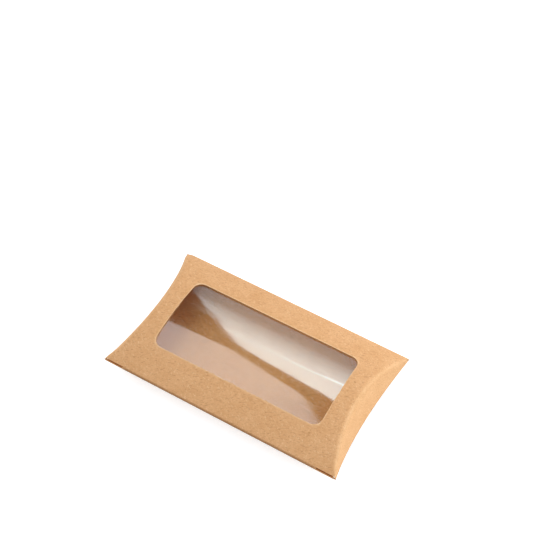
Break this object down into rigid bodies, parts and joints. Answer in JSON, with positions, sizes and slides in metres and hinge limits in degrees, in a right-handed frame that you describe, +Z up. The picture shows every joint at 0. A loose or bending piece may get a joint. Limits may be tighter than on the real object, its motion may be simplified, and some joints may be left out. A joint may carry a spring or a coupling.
{
  "type": "pillow box",
  "caption": "Closed kraft-board pillow box with bowed panels, curved tuck-in end flaps that fold out, a glued long seam and a clear film window in the front.",
  "frame": {"origin": "middle of the flat strip along the belly that the box rests on", "axes": "+X along the long folds, +Y across the box from the glued seam to the spine fold, +Z up through the window"},
  "size_m": [0.125, 0.073, 0.019],
  "materials": {
    "kraft_board": "uncoated matt",
    "clear_film": "clear gloss",
    "dried_glue": "matt"
  },
  "bodies": {
    "sleeve": {"front_panel": "kraft_board", "back_panel": "kraft_board", "spine_fold": "kraft_board", "seam_fold": "kraft_board", "glue_tab": "kraft_board", "window_film": "clear_film", "film_glue": "dried_glue", "seam_glue": "dried_glue"},
    "outer_flap_right": {"outer_flap_right": "kraft_board"},
    "outer_flap_left": {"outer_flap_left": "kraft_board"},
    "inner_flap_right": {"inner_flap_right": "kraft_board"},
    "inner_flap_left": {"inner_flap_left": "kraft_board"}
  },
  "joints": [
    {"name": "right_end_open", "type": "hinge", "parent": "sleeve", "child": "outer_flap_right", "pos_m": [0.054, 0, 0.019], "axis": [0, -1, 0], "range_deg": [0, 75]},
    {"name": "left_end_open", "type": "hinge", "parent": "sleeve", "child": "outer_flap_left", "pos_m": [-0.054, 0, 0.019], "axis": [0, 1, 0], "range_deg": [0, 75]},
    {"name": "right_inner_fold", "type": "hinge", "parent": "sleeve", "child": "inner_flap_right", "pos_m": [0.05325, 0, 0], "axis": [0, 1, 0], "range_deg": [0, 75], "deforming": ["inner_flap_right"]},
    {"name": "left_inner_fold", "type": "hinge", "parent": "sleeve", "child": "inner_flap_left", "pos_m": [-0.05325, 0, 0], "axis": [0, -1, 0], "range_deg": [0, 75], "deforming": ["inner_flap_left"]}
  ],
  "couplings": [
    {"joint": "right_inner_fold", "follows": "right_end_open", "ratio": 1},
    {"joint": "left_inner_fold", "follows": "left_end_open", "ratio": 1}
  ]
}
